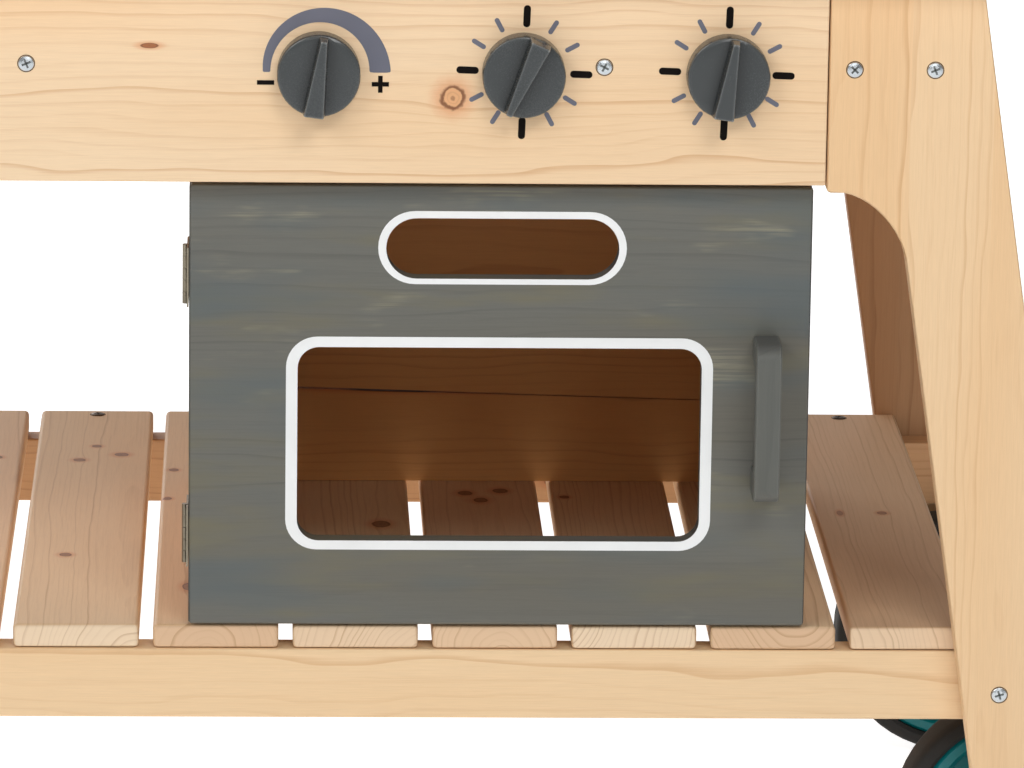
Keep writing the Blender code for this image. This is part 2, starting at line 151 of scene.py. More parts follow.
def make_timber_group():
    """Wood as growth rings round a wandering heart, in millimetres along, across and through the board."""
    floats = ("Strip", "Heart across", "Heart through", "Tilt", "Wander", "Ring", "Contrast", "Streak",
              "Seed")
    inputs = [("Board", "Vector"), ("Early", "Color"), ("Late", "Color")] + [(n, "Float") for n in floats]
    outputs = [("Color", "Color"), ("Height", "Float"), ("Late wood", "Float")]
    tree, given, out = new_group("Timber", inputs, outputs)
    u, v, w = apart(tree, given["Board"])
    strip = calc(tree, "FLOOR", calc(tree, "DIVIDE", calc(tree, "ADD", v, FAR), given["Strip"]))
    glued = calc(tree, "LESS_THAN", given["Strip"], FAR)
    key = calc(tree, "ADD", calc(tree, "MULTIPLY", strip, 7.31), given["Seed"])
    _, random3 = hash_of(tree, key)
    ra, rb, rc = apart(tree, random3)
    middle = calc(tree, "MULTIPLY", calc(tree, "ADD", strip, 0.5), given["Strip"])
    local = calc(tree, "ADD", calc(tree, "SUBTRACT", v, middle), FAR)
    along = calc(tree, "ADD", u, calc(tree, "MULTIPLY", ra, 900.0))
    place = together(tree, along, calc(tree, "ADD", v, calc(tree, "MULTIPLY", rb, 300.0)),
                     calc(tree, "ADD", w, calc(tree, "MULTIPLY", rc, 300.0)))
    _, wave = noise(tree, place, (0.0032, 0.011, 0.011), 1.0, 2.0)
    wx, wy, wz = apart(tree, wave)
    ripple, _ = noise(tree, place, (0.016, 0.07, 0.07), 2.0, 1.0)

    def offset(base, heart, bend, shift, tilt):
        moved = calc(tree, "SUBTRACT", base, heart)
        moved = calc(tree, "ADD", moved,
                     calc(tree, "MULTIPLY", calc(tree, "SUBTRACT", bend, 0.5), given["Wander"]))
        loose = calc(tree, "MULTIPLY", calc(tree, "SUBTRACT", shift, 0.5),
                     calc(tree, "MULTIPLY", glued, 60.0))
        return calc(tree, "ADD", calc(tree, "ADD", moved, loose), calc(tree, "MULTIPLY", u, tilt))

    across = offset(local, given["Heart across"], wx, rb, given["Tilt"])
    through = offset(w, given["Heart through"], wy, rc, calc(tree, "MULTIPLY", given["Tilt"], 0.6))
    radius = vcalc(tree, "LENGTH", together(tree, across, through, 0.0))
    radius = calc(tree, "ADD", radius, calc(tree, "MULTIPLY", ripple, given["Ring"]))
    turns = calc(tree, "DIVIDE", radius, given["Ring"])
    uneven = calc(tree, "SINE", calc(tree, "MULTIPLY", turns, 0.47))
    turns = calc(tree, "ADD", turns, calc(tree, "MULTIPLY", uneven, 0.8))
    turns = calc(tree, "ADD", turns, calc(tree, "MULTIPLY", wz, 3.0))
    year = calc(tree, "FLOOR", turns)
    part = calc(tree, "FRACT", turns)
    strength, _ = hash_of(tree, calc(tree, "ADD", year, key))
    late = calc(tree, "MULTIPLY", smooth(tree, part, 0.58, 0.95), smooth(tree, part, 1.0, 0.95))
    strength = calc(tree, "MULTIPLY", strength, strength)
    late = calc(tree, "MULTIPLY", late, calc(tree, "ADD", calc(tree, "MULTIPLY", strength, 0.85), 0.15))
    # fine fibres, finer pores and broad warm clouds, all drawn out along the board
    fibre, _ = noise(tree, place, (0.012, 0.8, 0.8), 3.0, 4.0, 0.72)
    pores, _ = noise(tree, place, (0.06, 3.5, 3.5), 4.0, 1.0, 0.7)
    broad, _ = noise(tree, place, (0.0018, 0.014, 0.014), 5.0, 1.0)
    share = calc(tree, "MULTIPLY", late, given["Contrast"])
    share = calc(tree, "ADD", share,
                 calc(tree, "MULTIPLY", calc(tree, "SUBTRACT", fibre, 0.5), given["Streak"]))
    clamp = tree.nodes.new("ShaderNodeClamp")
    put(tree, clamp.inputs[0], share)
    colour = mix(tree, clamp.outputs[0], given["Early"], given["Late"])
    warm = calc(tree, "MULTIPLY", smooth(tree, broad, 0.42, 0.68), 0.5)
    colour = mix(tree, warm, colour, (0.96, 0.86, 0.74, 1), "MULTIPLY")
    tone, _ = hash_of(tree, calc(tree, "ADD", key, 0.37))
    tone = calc(tree, "MULTIPLY", calc(tree, "MULTIPLY", tone, glued), 0.5)
    colour = mix(tree, tone, colour, (0.93, 0.87, 0.80, 1), "MULTIPLY")
    speck = calc(tree, "ADD", calc(tree, "MULTIPLY", pores, 0.16), 0.92)
    colour = mix(tree, 1.0, colour, together(tree, speck, speck, speck), "MULTIPLY")
    height = calc(tree, "ADD", calc(tree, "MULTIPLY", fibre, 0.7), calc(tree, "MULTIPLY", pores, 0.3))
    put(tree, out["Color"], colour)
    put(tree, out["Height"], height)
    put(tree, out["Late wood"], late)
    return tree


def make_knot_group():
    """Bends the grain round a knot and gives the knot's own mask, halo and rings."""
    inputs = [("Board", "Vector"), ("Centre", "Vector"), ("Radius", "Float"), ("Stretch", "Float")]
    outputs = [("Board", "Vector"), ("Mask", "Float"), ("Halo", "Float"), ("Rings", "Float")]
    tree, given, out = new_group("Knot", inputs, outputs)
    away = vcalc(tree, "SUBTRACT", given["Board"], given["Centre"])
    u, v, w = apart(tree, away)
    flat = together(tree, calc(tree, "DIVIDE", u, given["Stretch"]), v, 0.0)
    wobble, _ = noise(tree, flat, (0.25, 0.25, 0.25), 2.0, 2.0)
    far = calc(tree, "DIVIDE", vcalc(tree, "LENGTH", flat), given["Radius"])
    far = calc(tree, "ADD", far, calc(tree, "MULTIPLY", calc(tree, "SUBTRACT", wobble, 0.5), 0.5))
    long = together(tree, calc(tree, "DIVIDE", u, calc(tree, "MULTIPLY", given["Stretch"], 2.6)), v, 0.0)
    reach = calc(tree, "DIVIDE", vcalc(tree, "LENGTH", long), given["Radius"])
    fall = calc(tree, "EXPONENT", calc(tree, "MULTIPLY", calc(tree, "MULTIPLY", reach, reach), -0.45))
    keep = calc(tree, "SUBTRACT", 1.0, calc(tree, "MULTIPLY", fall, 0.85))
    bent = together(tree, u, calc(tree, "MULTIPLY", v, keep), w)
    put(tree, out["Board"], vcalc(tree, "ADD", bent, given["Centre"]))
    put(tree, out["Mask"], smooth(tree, far, 1.22, 0.98))
    put(tree, out["Halo"], smooth(tree, far, 2.6, 0.9))
    ring = calc(tree, "SINE", calc(tree, "MULTIPLY", far, 16.0))
    rim = calc(tree, "MULTIPLY", smooth(tree, far, 0.76, 0.98), calc(tree, "ADD", wobble, 0.75))
    pith = calc(tree, "MULTIPLY", smooth(tree, far, 0.3, 0.05), 0.5)
    put(tree, out["Rings"],
        calc(tree, "ADD", calc(tree, "ADD", calc(tree, "MULTIPLY", ring, 0.16), rim), pith))
    return tree


TIMBER = make_timber_group()
KNOT = make_knot_group()


def new_material(name):
    material = bpy.data.materials.new(name)
    material.use_nodes = True
    tree = material.node_tree
    shader = tree.nodes["Principled BSDF"]
    return material, tree, shader


def use_group(tree, group, values):
    node = tree.nodes.new("ShaderNodeGroup")
    node.node_tree = group
    for name, value in values.items():
        put(tree, node.inputs[name], value)
    return node.outputs


def make_round_off_group():
    """Drops stored normals, welds the shell and shades it smooth wherever two faces meet below the angle."""
    tree = bpy.data.node_groups.new("Round off", "GeometryNodeTree")
    tree.interface.new_socket("Geometry", in_out="INPUT", socket_type="NodeSocketGeometry")
    tree.interface.new_socket("Angle", in_out="INPUT", socket_type="NodeSocketFloat")
    tree.interface.new_socket("Geometry", in_out="OUTPUT", socket_type="NodeSocketGeometry")
    given = tree.nodes.new("NodeGroupInput")
    result = tree.nodes.new("NodeGroupOutput")
    plain = tree.nodes.new("GeometryNodeRemoveAttribute")
    plain.inputs["Name"].default_value = "custom_normal"
    merge = tree.nodes.new("GeometryNodeMergeByDistance")
    merge.inputs["Distance"].default_value = 0.01 * MM
    faces = tree.nodes.new("GeometryNodeSetShadeSmooth")
    faces.domain = "FACE"
    edges = tree.nodes.new("GeometryNodeSetShadeSmooth")
    edges.domain = "EDGE"
    turn = tree.nodes.new("GeometryNodeInputMeshEdgeAngle")
    less = tree.nodes.new("FunctionNodeCompare")
    less.operation = "LESS_THAN"
    link = tree.links.new
    link(given.outputs["Geometry"], plain.inputs["Geometry"])
    link(plain.outputs[0], merge.inputs["Geometry"])
    link(merge.outputs[0], faces.inputs["Geometry"])
    link(faces.outputs[0], edges.inputs["Geometry"])
    link(turn.outputs["Unsigned Angle"], less.inputs[0])
    link(given.outputs["Angle"], less.inputs[1])
    link(less.outputs[0], edges.inputs["Shade Smooth"])
    link(edges.outputs[0], result.inputs["Geometry"])
    return tree


ROUND_OFF = make_round_off_group()


def give(modifier, **values):
    """Sets a node modifier's inputs by their names."""
    for item in modifier.node_group.interface.items_tree:
        if item.in_out == "INPUT" and item.name in values:
            modifier[item.identifier] = values[item.name]


def round_off(obj, angle, bevel):
    """Shades a CAD shell smooth below the angle, keeps broad faces flat and may break the sharp edges."""
    shading = obj.modifiers.new("Round off", "NODES")
    shading.node_group = ROUND_OFF
    give(shading, Angle=math.radians(angle))
    if bevel:
        edges = obj.modifiers.new("Broken edges", "BEVEL")
        edges.width = bevel * MM
        edges.segments = 3
        edges.limit_method = "ANGLE"
        edges.angle_limit = math.radians(angle)
    weights = obj.modifiers.new("Weighted", "WEIGHTED_NORMAL")
    weights.keep_sharp = True
    weights.weight = 100


def dress(node, material, angle=50.0, bevel=0.0):
    """Gives a CAD node its material and its smooth edges."""
    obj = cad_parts[node]
    obj.material_slots[0].material = material
    round_off(obj, angle, bevel)


def board_vector(tree, node, order):
    """Millimetres from the node's middle, reordered as along, across and through the board."""
    low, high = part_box(node)
    coords = tree.nodes.new("ShaderNodeTexCoord")
    away = vcalc(tree, "SUBTRACT", coords.outputs["Object"], tuple((low + high) / 2))
    parts = apart(tree, vcalc(tree, "SCALE", away, 1 / MM))
    normal = apart(tree, coords.outputs["Normal"])
    axes = ["xyz".index(a) for a in order]
    return together(tree, *(parts[i] for i in axes)), normal[axes[0]]


def timber(node, order, early, late, seed, heart=(-40.0, 70.0), ring=2.4, wander=9.0, contrast=0.75,
           streak=0.5, tilt=0.0, strip=2000.0, knots=(), knot_tones=(rgb(222, 168, 120), rgb(112, 64, 36)),
           rough=0.52, end=None, finish=None, angle=50.0):
    """A wood material for one board; knots are (along, across, radius, stretch) and may add their tones."""
    material, tree, shader = new_material("wood_" + node)
    board, facing = board_vector(tree, node, order)
    marks = []
    for along, across, radius, stretch, *tones in knots:
        found = use_group(tree, KNOT, {"Board": board, "Centre": (along, across, 0.0), "Radius": radius,
                                       "Stretch": stretch})
        board = found["Board"]
        marks.append((found, tones or knot_tones))
    wood = use_group(tree, TIMBER, {
        "Board": board, "Early": early, "Late": late, "Strip": strip, "Heart across": heart[0],
        "Heart through": heart[1], "Tilt": tilt, "Wander": wander, "Ring": ring, "Contrast": contrast,
        "Streak": streak, "Seed": float(seed)})
    colour = wood["Color"]
    for found, tones in marks:
        colour = mix(tree, calc(tree, "MULTIPLY", found["Halo"], 0.45), colour, rgb(226, 150, 96), "MULTIPLY")
        core = mix(tree, found["Rings"], *tones)
        colour = mix(tree, calc(tree, "MULTIPLY", found["Mask"], 0.85), colour, core)
    across_grain = smooth(tree, calc(tree, "ABSOLUTE", facing), 0.6, 0.8)
    cut = mix(tree, calc(tree, "MULTIPLY", wood["Late wood"], 0.55), end or early, late)
    colour = mix(tree, across_grain, colour, cut)
    if finish:
        colour = finish(tree, colour, board)
    put(tree, shader.inputs["Base Color"], colour)
    uneven = calc(tree, "ADD", calc(tree, "MULTIPLY", wood["Height"], 0.16), rough - 0.06)
    put(tree, shader.inputs["Roughness"],
        calc(tree, "ADD", uneven, calc(tree, "MULTIPLY", across_grain, 0.12)))
    shader.inputs["Specular IOR Level"].default_value = 0.35
    bump = tree.nodes.new("ShaderNodeBump")
    bump.inputs["Strength"].default_value = 0.35
    bump.inputs["Distance"].default_value = 0.0002
    put(tree, bump.inputs["Height"], wood["Height"])
    put(tree, shader.inputs["Normal"], bump.outputs[0])
    dress(node, material, angle)
    return material


SPRUCE = rgb(237, 209, 173), rgb(200, 150, 100)
RAIL_SPRUCE = rgb(234, 203, 162), rgb(202, 154, 104)
LEG_SPRUCE = rgb(236, 204, 163), rgb(202, 154, 104)
# the rear legs take a darker, more orange spruce colour as painted shade
REAR_LEG_PAINTED_SHADE = rgb(174, 135, 98), rgb(134, 95, 61)
timber("lower_rail_front", "xzy", *RAIL_SPRUCE, seed=11, heart=(42.0, 30.0), ring=6.5, wander=34.0,
       contrast=0.6, streak=0.55, tilt=0.02)
# the rear rail is coloured darker than the front rail as painted shade
timber("lower_rail_rear", "xzy", *(rgb(190, 148, 108), rgb(156, 110, 72)), seed=12, heart=(60.0, 55.0),
       ring=3.4, wander=14.0, tilt=0.012, knots=((210.0, -6.0, 3.0, 2.2),))
for index, side in enumerate(("left", "right")):
    timber("leg_front_" + side, "zxy", *LEG_SPRUCE, seed=21 + index, strip=46.0, ring=4.6, wander=10.0,
           contrast=0.55)
    timber("leg_rear_" + side, "zxy", *REAR_LEG_PAINTED_SHADE, seed=25 + index, strip=46.0, ring=3.4, wander=8.0,
           contrast=0.6)

# ----------------------------------------------------------------------------------------------------------
# Shelf: eleven slats laid front to back across the rails with a drain gap between neighbours.
# Unfinished fir, browner and pinker than the frame, with rings on the sawn ends and a knot or more each.
# Each slat is screwed down near its back end.
FIR = rgb(227, 194, 157), rgb(172, 128, 88)
FIR_KNOTS = rgb(142, 100, 70), rgb(100, 64, 42)
SLAT_KNOTS = {
    1: ((40.0, 10.0, 3.5, 1.1),),
    2: ((-150.0, -12.0, 3.6, 1.2), (90.0, 16.0, 3.0, 1.2)),
    3: ((120.0, 8.0, 3.6, 1.2),),
    4: ((-60.0, -14.0, 3.4, 1.2), (130.0, 20.0, 2.6, 1.2)),
    5: ((159.0, 1.8, 2.6, 1.1), (138.0, 17.4, 4.0, 1.0), (124.0, -8.0, 3.4, 1.0), (-102.0, -10.0, 3.2, 1.1)),
    6: ((100.0, -28.0, 2.6, 1.2), (30.0, -31.0, 2.4, 1.2), (-172.0, -16.0, 3.2, 2.2)),
    7: ((-28.6, 17.8, 5.0, 1.4), (-190.0, 4.0, 2.4, 1.2)),
    8: ((46.0, -8.5, 4.0, 1.2), (52.0, 12.8, 4.2, 1.2), (29.5, 0.0, 4.4, 1.2)),
    9: ((37.6, -27.0, 2.6, 1.2), (-90.0, 18.0, 2.4, 1.2)),
    10: ((-140.0, -20.0, 2.6, 1.2),),
    11: ((2.5, 5.2, 2.6, 1.2, rgb(150, 108, 78), rgb(112, 74, 50)),
         (2.0, -20.0, 1.6, 3.0, rgb(160, 118, 88), rgb(138, 98, 70))),
}
SLAT_HEARTS = ((-14, -30), (18, -24), (6, -60), (-22, -30), (30, -14), (-6, -9), (40, -24), (2, -12),
               (-60, 20), (8, 18), (-90, -20))
# each slat's own tone, except the last slat's 0.80, which is painted shade beside the oven box and leg
SLAT_TONES_AND_SHADE = (1.0, 0.97, 1.02, 1.0, 1.04, 1.02, 1.04, 0.96, 1.02, 1.04, 0.80)
END_TONES = rgb(232, 208, 178), rgb(216, 182, 148), rgb(226, 198, 166), rgb(222, 190, 156)
for index, (heart, tone) in enumerate(zip(SLAT_HEARTS, SLAT_TONES_AND_SHADE)):
    early, late = ((c[0] * min(tone + 0.02, 1), c[1] * tone, c[2] * tone, 1.0) for c in FIR)
    timber(f"shelf_slat_{index + 1:02d}", "yxz", early, late, seed=40 + 3 * index, heart=heart, ring=3.4,
           wander=10.0, contrast=0.5, streak=0.6, tilt=0.02 - 0.01 * (index % 3), rough=0.6,
           knots=SLAT_KNOTS[index + 1], knot_tones=FIR_KNOTS, end=END_TONES[index % 4])

# ----------------------------------------------------------------------------------------------------------
# Oven box: side walls, two back boards with a drying crack between them, and a top board.
# The same fir left raw, its grain running level across the back; it is coloured more orange and darker than
# the shelf as painted shade.
# Boards are nailed edge to edge; the box stands on the slats.
# fir coloured more orange and darker as painted shade inside the oven
OVEN_FIR_PAINTED_SHADE = rgb(212, 155, 92), rgb(172, 112, 56)
CRACK = rgb(64, 38, 22), rgb(44, 26, 14)
timber("oven_back_lower", "xzy", *OVEN_FIR_PAINTED_SHADE, seed=81, heart=(20.0, 40.0), ring=5.0, wander=16.0, contrast=0.5,
       knots=((-24.0, 27.5, 1.6, 32.0),), knot_tones=CRACK)
timber("oven_back_upper", "xzy", *OVEN_FIR_PAINTED_SHADE, seed=82, heart=(-40.0, 40.0), ring=6.0, wander=16.0, contrast=0.55)
for index, part in enumerate(("oven_wall_left", "oven_wall_right")):
    timber(part, "zyx", *OVEN_FIR_PAINTED_SHADE, seed=85 + index, heart=(-30.0, 50.0), ring=4.0, wander=14.0)
timber("oven_top", "xyz", *OVEN_FIR_PAINTED_SHADE, seed=89, heart=(30.0, 60.0), ring=4.0, wander=14.0)

# ----------------------------------------------------------------------------------------------------------
# Oven door: one board with a hand slot and a window, each edged by a painted line, and a bow pull.
# Grey water stain lets the level grain and a few olive and blue patches through; the lines are white enamel.
# It swings on two small nickel butt hinges at its left edge.
def stain(tree, colour, board):
    """Blotches of olive and slate along the grain, with a paler rub here and there."""
    olive, _ = noise(tree, board, (0.007, 0.04, 0.04), 3.0, 3.0, 0.6)
    slate, _ = noise(tree, board, (0.006, 0.025, 0.025), 8.0, 2.0)
    rub, _ = noise(tree, board, (0.012, 0.04, 0.04), 15.0, 3.0, 0.6)
    brush, _ = noise(tree, board, (0.012, 0.5, 0.5), 21.0, 4.0, 0.7)
    colour = mix(tree, calc(tree, "MULTIPLY", smooth(tree, olive, 0.46, 0.72), 0.8), colour,
                 rgb(112, 107, 86))
    colour = mix(tree, calc(tree, "MULTIPLY", smooth(tree, slate, 0.46, 0.68), 0.65), colour, rgb(86, 96, 99))
    rubbed = calc(tree, "MULTIPLY", smooth(tree, rub, 0.58, 0.74), smooth(tree, brush, 0.36, 0.66))
    return mix(tree, calc(tree, "MULTIPLY", rubbed, 0.75), colour, rgb(144, 140, 118))


GREY = rgb(103, 103, 97), rgb(80, 80, 76)
timber("oven_door", "xzy", *GREY, seed=101, heart=(-95.0, 30.0), ring=5.5, wander=26.0, contrast=0.5,
       streak=0.7, rough=0.55, end=rgb(84, 84, 80), finish=stain)
pull_stain = timber("door_pull", "zxy", *(rgb(95, 97, 93), rgb(80, 82, 79)), seed=103, ring=3.0, rough=0.5,
                    end=rgb(90, 92, 90), angle=28.0)


EDGE_REACH = 1.2 * MM


def edge_wear_highlight_and_shade(material, wear_and_highlight, wear_and_highlight_share, crease_shade_share):
    """Lightens the outer edges of a material, as wear on the pull and as a painted highlight on the knobs,
    and darkens its inner corners as painted shade, both by nearby faces.
    """
    tree = material.node_tree
    base = tree.nodes["Principled BSDF"].inputs["Base Color"]
    colour = base.links[0].from_socket
    edge, crease = (tree.nodes.new("ShaderNodeAmbientOcclusion") for _ in range(2))
    edge.inside = edge.only_local = crease.only_local = True
    edge.inputs["Distance"].default_value = EDGE_REACH
    crease.inputs["Distance"].default_value = 8 * EDGE_REACH
    edge.samples = crease.samples = 8
    wear_and_highlight_edge = calc(tree, "MULTIPLY", smooth(tree, edge.outputs["AO"], 0.95, 0.62), wear_and_highlight_share)
    colour = mix(tree, wear_and_highlight_edge, colour, wear_and_highlight)
    crease_painted_shade = calc(tree, "MULTIPLY", smooth(tree, crease.outputs["AO"], 1.0, 0.35), crease_shade_share)
    put(tree, base, mix(tree, crease_painted_shade, colour, (0.35, 0.35, 0.35, 1), "MULTIPLY"))


# the pull's lightened edges are wear; its darkened inner corners are painted shade
edge_wear_highlight_and_shade(pull_stain, rgb(140, 143, 138), 0.6, 0.7)


def surface(name, colour, rough, metal=0.0, grain=0.08, scale=900.0, bump=0.15, stretch=(1.0, 1.0, 1.0),
            shine=0.5):
    """A material for paint, plastic, rubber or metal: a mottled colour, uneven roughness and a fine bump."""
    material, tree, shader = new_material(name)
    coords = tree.nodes.new("ShaderNodeTexCoord").outputs["Object"]
    fine, _ = noise(tree, coords, tuple(scale * s for s in stretch), 1.0, 3.0, 0.6)
    cloud, _ = noise(tree, coords, (26.0, 26.0, 26.0), 4.0, 2.0)
    darker = tuple(c * (1 - grain) for c in colour[:3]) + (1.0,)
    lighter = tuple(min(1.0, c * (1 + grain)) for c in colour[:3]) + (1.0,)
    blotch = mix(tree, smooth(tree, cloud, 0.35, 0.65), darker, lighter)
    put(tree, shader.inputs["Base Color"], mix(tree, calc(tree, "MULTIPLY", fine, 0.5), blotch, colour))
    spread = calc(tree, "ADD", calc(tree, "MULTIPLY", fine, 0.14), calc(tree, "MULTIPLY", cloud, 0.10))
    put(tree, shader.inputs["Roughness"], calc(tree, "ADD", spread, rough - 0.12))
    shader.inputs["Metallic"].default_value = metal
    shader.inputs["Specular IOR Level"].default_value = shine
    relief = tree.nodes.new("ShaderNodeBump")
    relief.inputs["Strength"].default_value = bump
    relief.inputs["Distance"].default_value = 0.0001
    put(tree, relief.inputs["Height"], fine)
    put(tree, shader.inputs["Normal"], relief.outputs[0])
    return material


def piece(name, mesh, body, material):
    """A finished object at the origin that rides on a body."""
    obj = bpy.data.objects.new(name, mesh)
    bpy.context.scene.collection.objects.link(obj)
    obj.data.materials.clear()
    obj.data.materials.append(material)
    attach(obj, body)


def mesh_of(bm, name):
    """Ends a bmesh as a named mesh."""
    mesh = bpy.data.meshes.new(name)
    bm.to_mesh(mesh)
    bm.free()
    return mesh


def round_rect(x0, x1, z0, z1, radius, count=10):
    """Points of a rectangle with rounded corners, counter-clockwise from the top right."""
    points = []
    for cx, cz, turn in ((x1 - radius, z1 - radius, 0), (x0 + radius, z1 - radius, 90),
                         (x0 + radius, z0 + radius, 180), (x1 - radius, z0 + radius, 270)):
        for i in range(count + 1):
            a = math.radians(turn + 90 * i / count)
            points.append((cx + radius * math.cos(a), cz + radius * math.sin(a)))
    return points


def skin(bm, rings):
    """Closes the strip of faces from each ring of vertices to the next."""
    for a, b in zip(rings, rings[1:]):
        for i in range(len(a)):
            j = (i + 1) % len(a)
            bm.faces.new((a[i], a[j], b[j], b[i]))


def band(bm, outer, inner, back, front):
    """A thin flat ring between two outlines with equally many points, standing from back to front in Y."""
    rings = [[bm.verts.new((x * MM, y, z * MM)) for x, z in outline]
             for outline, y in ((outer, back), (outer, front), (inner, front), (inner, back))]
    skin(bm, [*rings, rings[0]])


# each painted line runs from the rim of its hole out to its own rounded outline
door_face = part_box("oven_door")[0].y
paint_face = door_face - 0.18 * MM
window, window_line = round_rect(44.8, 268.8, 253.8, 364.3, 12), round_rect(38.4, 275.0, 248.6, 370.2, 17.5)
hand_slot, slot_line = round_rect(93.2, 221.9, 403.3, 437.4, 17), round_rect(88.8, 226.0, 400.2, 441.4, 20.5)
bm = bmesh.new()
band(bm, window_line, window, door_face, paint_face)
band(bm, slot_line, hand_slot, door_face, paint_face)
bmesh.ops.recalc_face_normals(bm, faces=bm.faces)
enamel = surface("white_enamel", rgb(233, 235, 235), 0.4, grain=0.03, scale=600, bump=0.25)
piece("door_lines", mesh_of(bm, "door_lines"), "door", enamel)

nickel = surface("dull_nickel", rgb(140, 132, 116), 0.34, metal=1.0, grain=0.25, scale=1400, bump=0.3)
for part in ("hinge_fixed_lower", "hinge_fixed_upper", "hinge_moving_lower", "hinge_moving_upper",
             "catch_keeper"):
    dress(part, nickel, 35)
black = surface("black_moulding", rgb(34, 34, 35), 0.45, scale=1200)
dress("catch_magnet", black)

# ----------------------------------------------------------------------------------------------------------
# Control fascia: a level spruce board with printed dials and three plastic knobs.
# Fine wavy grain, a round knot between the first two knobs, a long one further left; the prints are flat ink.
# Screwed to the upper rail behind it, flush with the leg heads.
timber("fascia", "xzy", *SPRUCE, seed=7, heart=(-96.0, 44.0), ring=6.0, wander=30.0, contrast=0.62,
       streak=0.6, tilt=0.014,
       knots=((128.5, -14.5, 6.2, 1.0), (-37.0, 13.4, 1.3, 3.4, rgb(150, 84, 44), rgb(112, 60, 30))))
timber("upper_rail_front", "xzy", *SPRUCE, seed=8, heart=(80.0, 60.0))
timber("upper_rail_rear", "xzy", *SPRUCE, seed=9, heart=(-80.0, 60.0))
timber("side_apron_left", "yzx", *SPRUCE, seed=12, heart=(70.0, 60.0))
timber("side_apron_right", "yzx", *SPRUCE, seed=13, heart=(-70.0, 60.0))


def placed_group():
    """Copies of one object on points that carry a facing turn, with a seeded spin about the copy's own Z."""
    tree = bpy.data.node_groups.new("Placed copies", "GeometryNodeTree")
    for label, kind in (("Points", "Geometry"), ("Copy", "Object"), ("Material", "Material"),
                        ("Spin", "Float"), ("Seed", "Int")):
        tree.interface.new_socket(label, in_out="INPUT", socket_type="NodeSocket" + kind)
    tree.interface.new_socket("Copies", in_out="OUTPUT", socket_type="NodeSocketGeometry")
    given = tree.nodes.new("NodeGroupInput").outputs
    result = tree.nodes.new("NodeGroupOutput")
    shape = tree.nodes.new("GeometryNodeObjectInfo")
    turn = tree.nodes.new("GeometryNodeInputNamedAttribute")
    turn.data_type = "FLOAT_VECTOR"
    turn.inputs["Name"].default_value = "turn"
    spin = tree.nodes.new("FunctionNodeRandomValue")
    spin.data_type = "FLOAT"
    axis = tree.nodes.new("ShaderNodeCombineXYZ")
    set_on = tree.nodes.new("GeometryNodeInstanceOnPoints")
    whirl = tree.nodes.new("GeometryNodeRotateInstances")
    real = tree.nodes.new("GeometryNodeRealizeInstances")
    paint = tree.nodes.new("GeometryNodeSetMaterial")
    link = tree.links.new
    link(given["Copy"], shape.inputs["Object"])
    link(given["Points"], set_on.inputs["Points"])
    link(shape.outputs["Geometry"], set_on.inputs["Instance"])
    link(turn.outputs["Attribute"], set_on.inputs["Rotation"])
    link(given["Spin"], spin.inputs[3])
    link(given["Seed"], spin.inputs["Seed"])
    link(spin.outputs[1], axis.inputs["Z"])
    link(set_on.outputs[0], whirl.inputs["Instances"])
    link(axis.outputs[0], whirl.inputs["Rotation"])
    link(whirl.outputs[0], real.inputs["Geometry"])
    link(real.outputs[0], paint.inputs["Geometry"])
    link(given["Material"], paint.inputs["Material"])
    link(paint.outputs[0], result.inputs["Copies"])
    return tree


PLACED = placed_group()


def scatter(name, shape, spots, body, material, spin=0.0, seed=1):
    """One mesh of copies of a shape; spots are (place in metres, euler turn)."""
    points = bpy.data.meshes.new(name + "_points")
    points.from_pydata([place for place, _ in spots], [], [])
    turns = points.attributes.new("turn", "FLOAT_VECTOR", "POINT")
    turns.data.foreach_set("vector", [angle for _, turn in spots for angle in turn])
    holder = bpy.data.objects.new(name + "_points", points)
    model = bpy.data.objects.new(name + "_shape", shape)
    for obj in (holder, model):
        bpy.context.scene.collection.objects.link(obj)
    copies = holder.modifiers.new("Copies", "NODES")
    copies.node_group = PLACED
    give(copies, Copy=model, Material=material, Spin=spin, Seed=seed)
    bpy.context.view_layer.update()
    graph = bpy.context.evaluated_depsgraph_get()
    mesh = bpy.data.meshes.new_from_object(holder.evaluated_get(graph))
    mesh.name = name
    for obj in (holder, model):
        bpy.data.objects.remove(obj)
    piece(name, mesh, body, material)


INK_DEEP = 0.12 * MM


def print_plates(name, outlines, y):
    """Flat prints that face -Y and stand on the plane at y, one for each outline in X and Z."""
    bm = bmesh.new()
    for outline in outlines:
        face = bm.faces.new([bm.verts.new((x * MM, y, z * MM)) for x, z in outline])
        moved = bmesh.ops.extrude_face_region(bm, geom=[face])["geom"]
        verts = [m for m in moved if isinstance(m, bmesh.types.BMVert)]
        bmesh.ops.translate(bm, verts=verts, vec=(0, -INK_DEEP, 0))
    bmesh.ops.recalc_face_normals(bm, faces=bm.faces)
    bmesh.ops.triangulate(bm, faces=[face for face in bm.faces if len(face.verts) > 4])
    return mesh_of(bm, name)


def capsule(length, thick):
    """A flat printed bar with round ends, from the origin along local X."""
    half = thick / 2
    return print_plates("capsule", [round_rect(0, length, -half, half, half * 0.98, 6)], 0)


fascia_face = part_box("fascia")[0].y
black_ink = surface("black_ink", rgb(16, 11, 8), 0.7, scale=1500, shine=0.1)
grey_ink = surface("grey_ink", rgb(110, 112, 125), 0.7, scale=1500, shine=0.2)

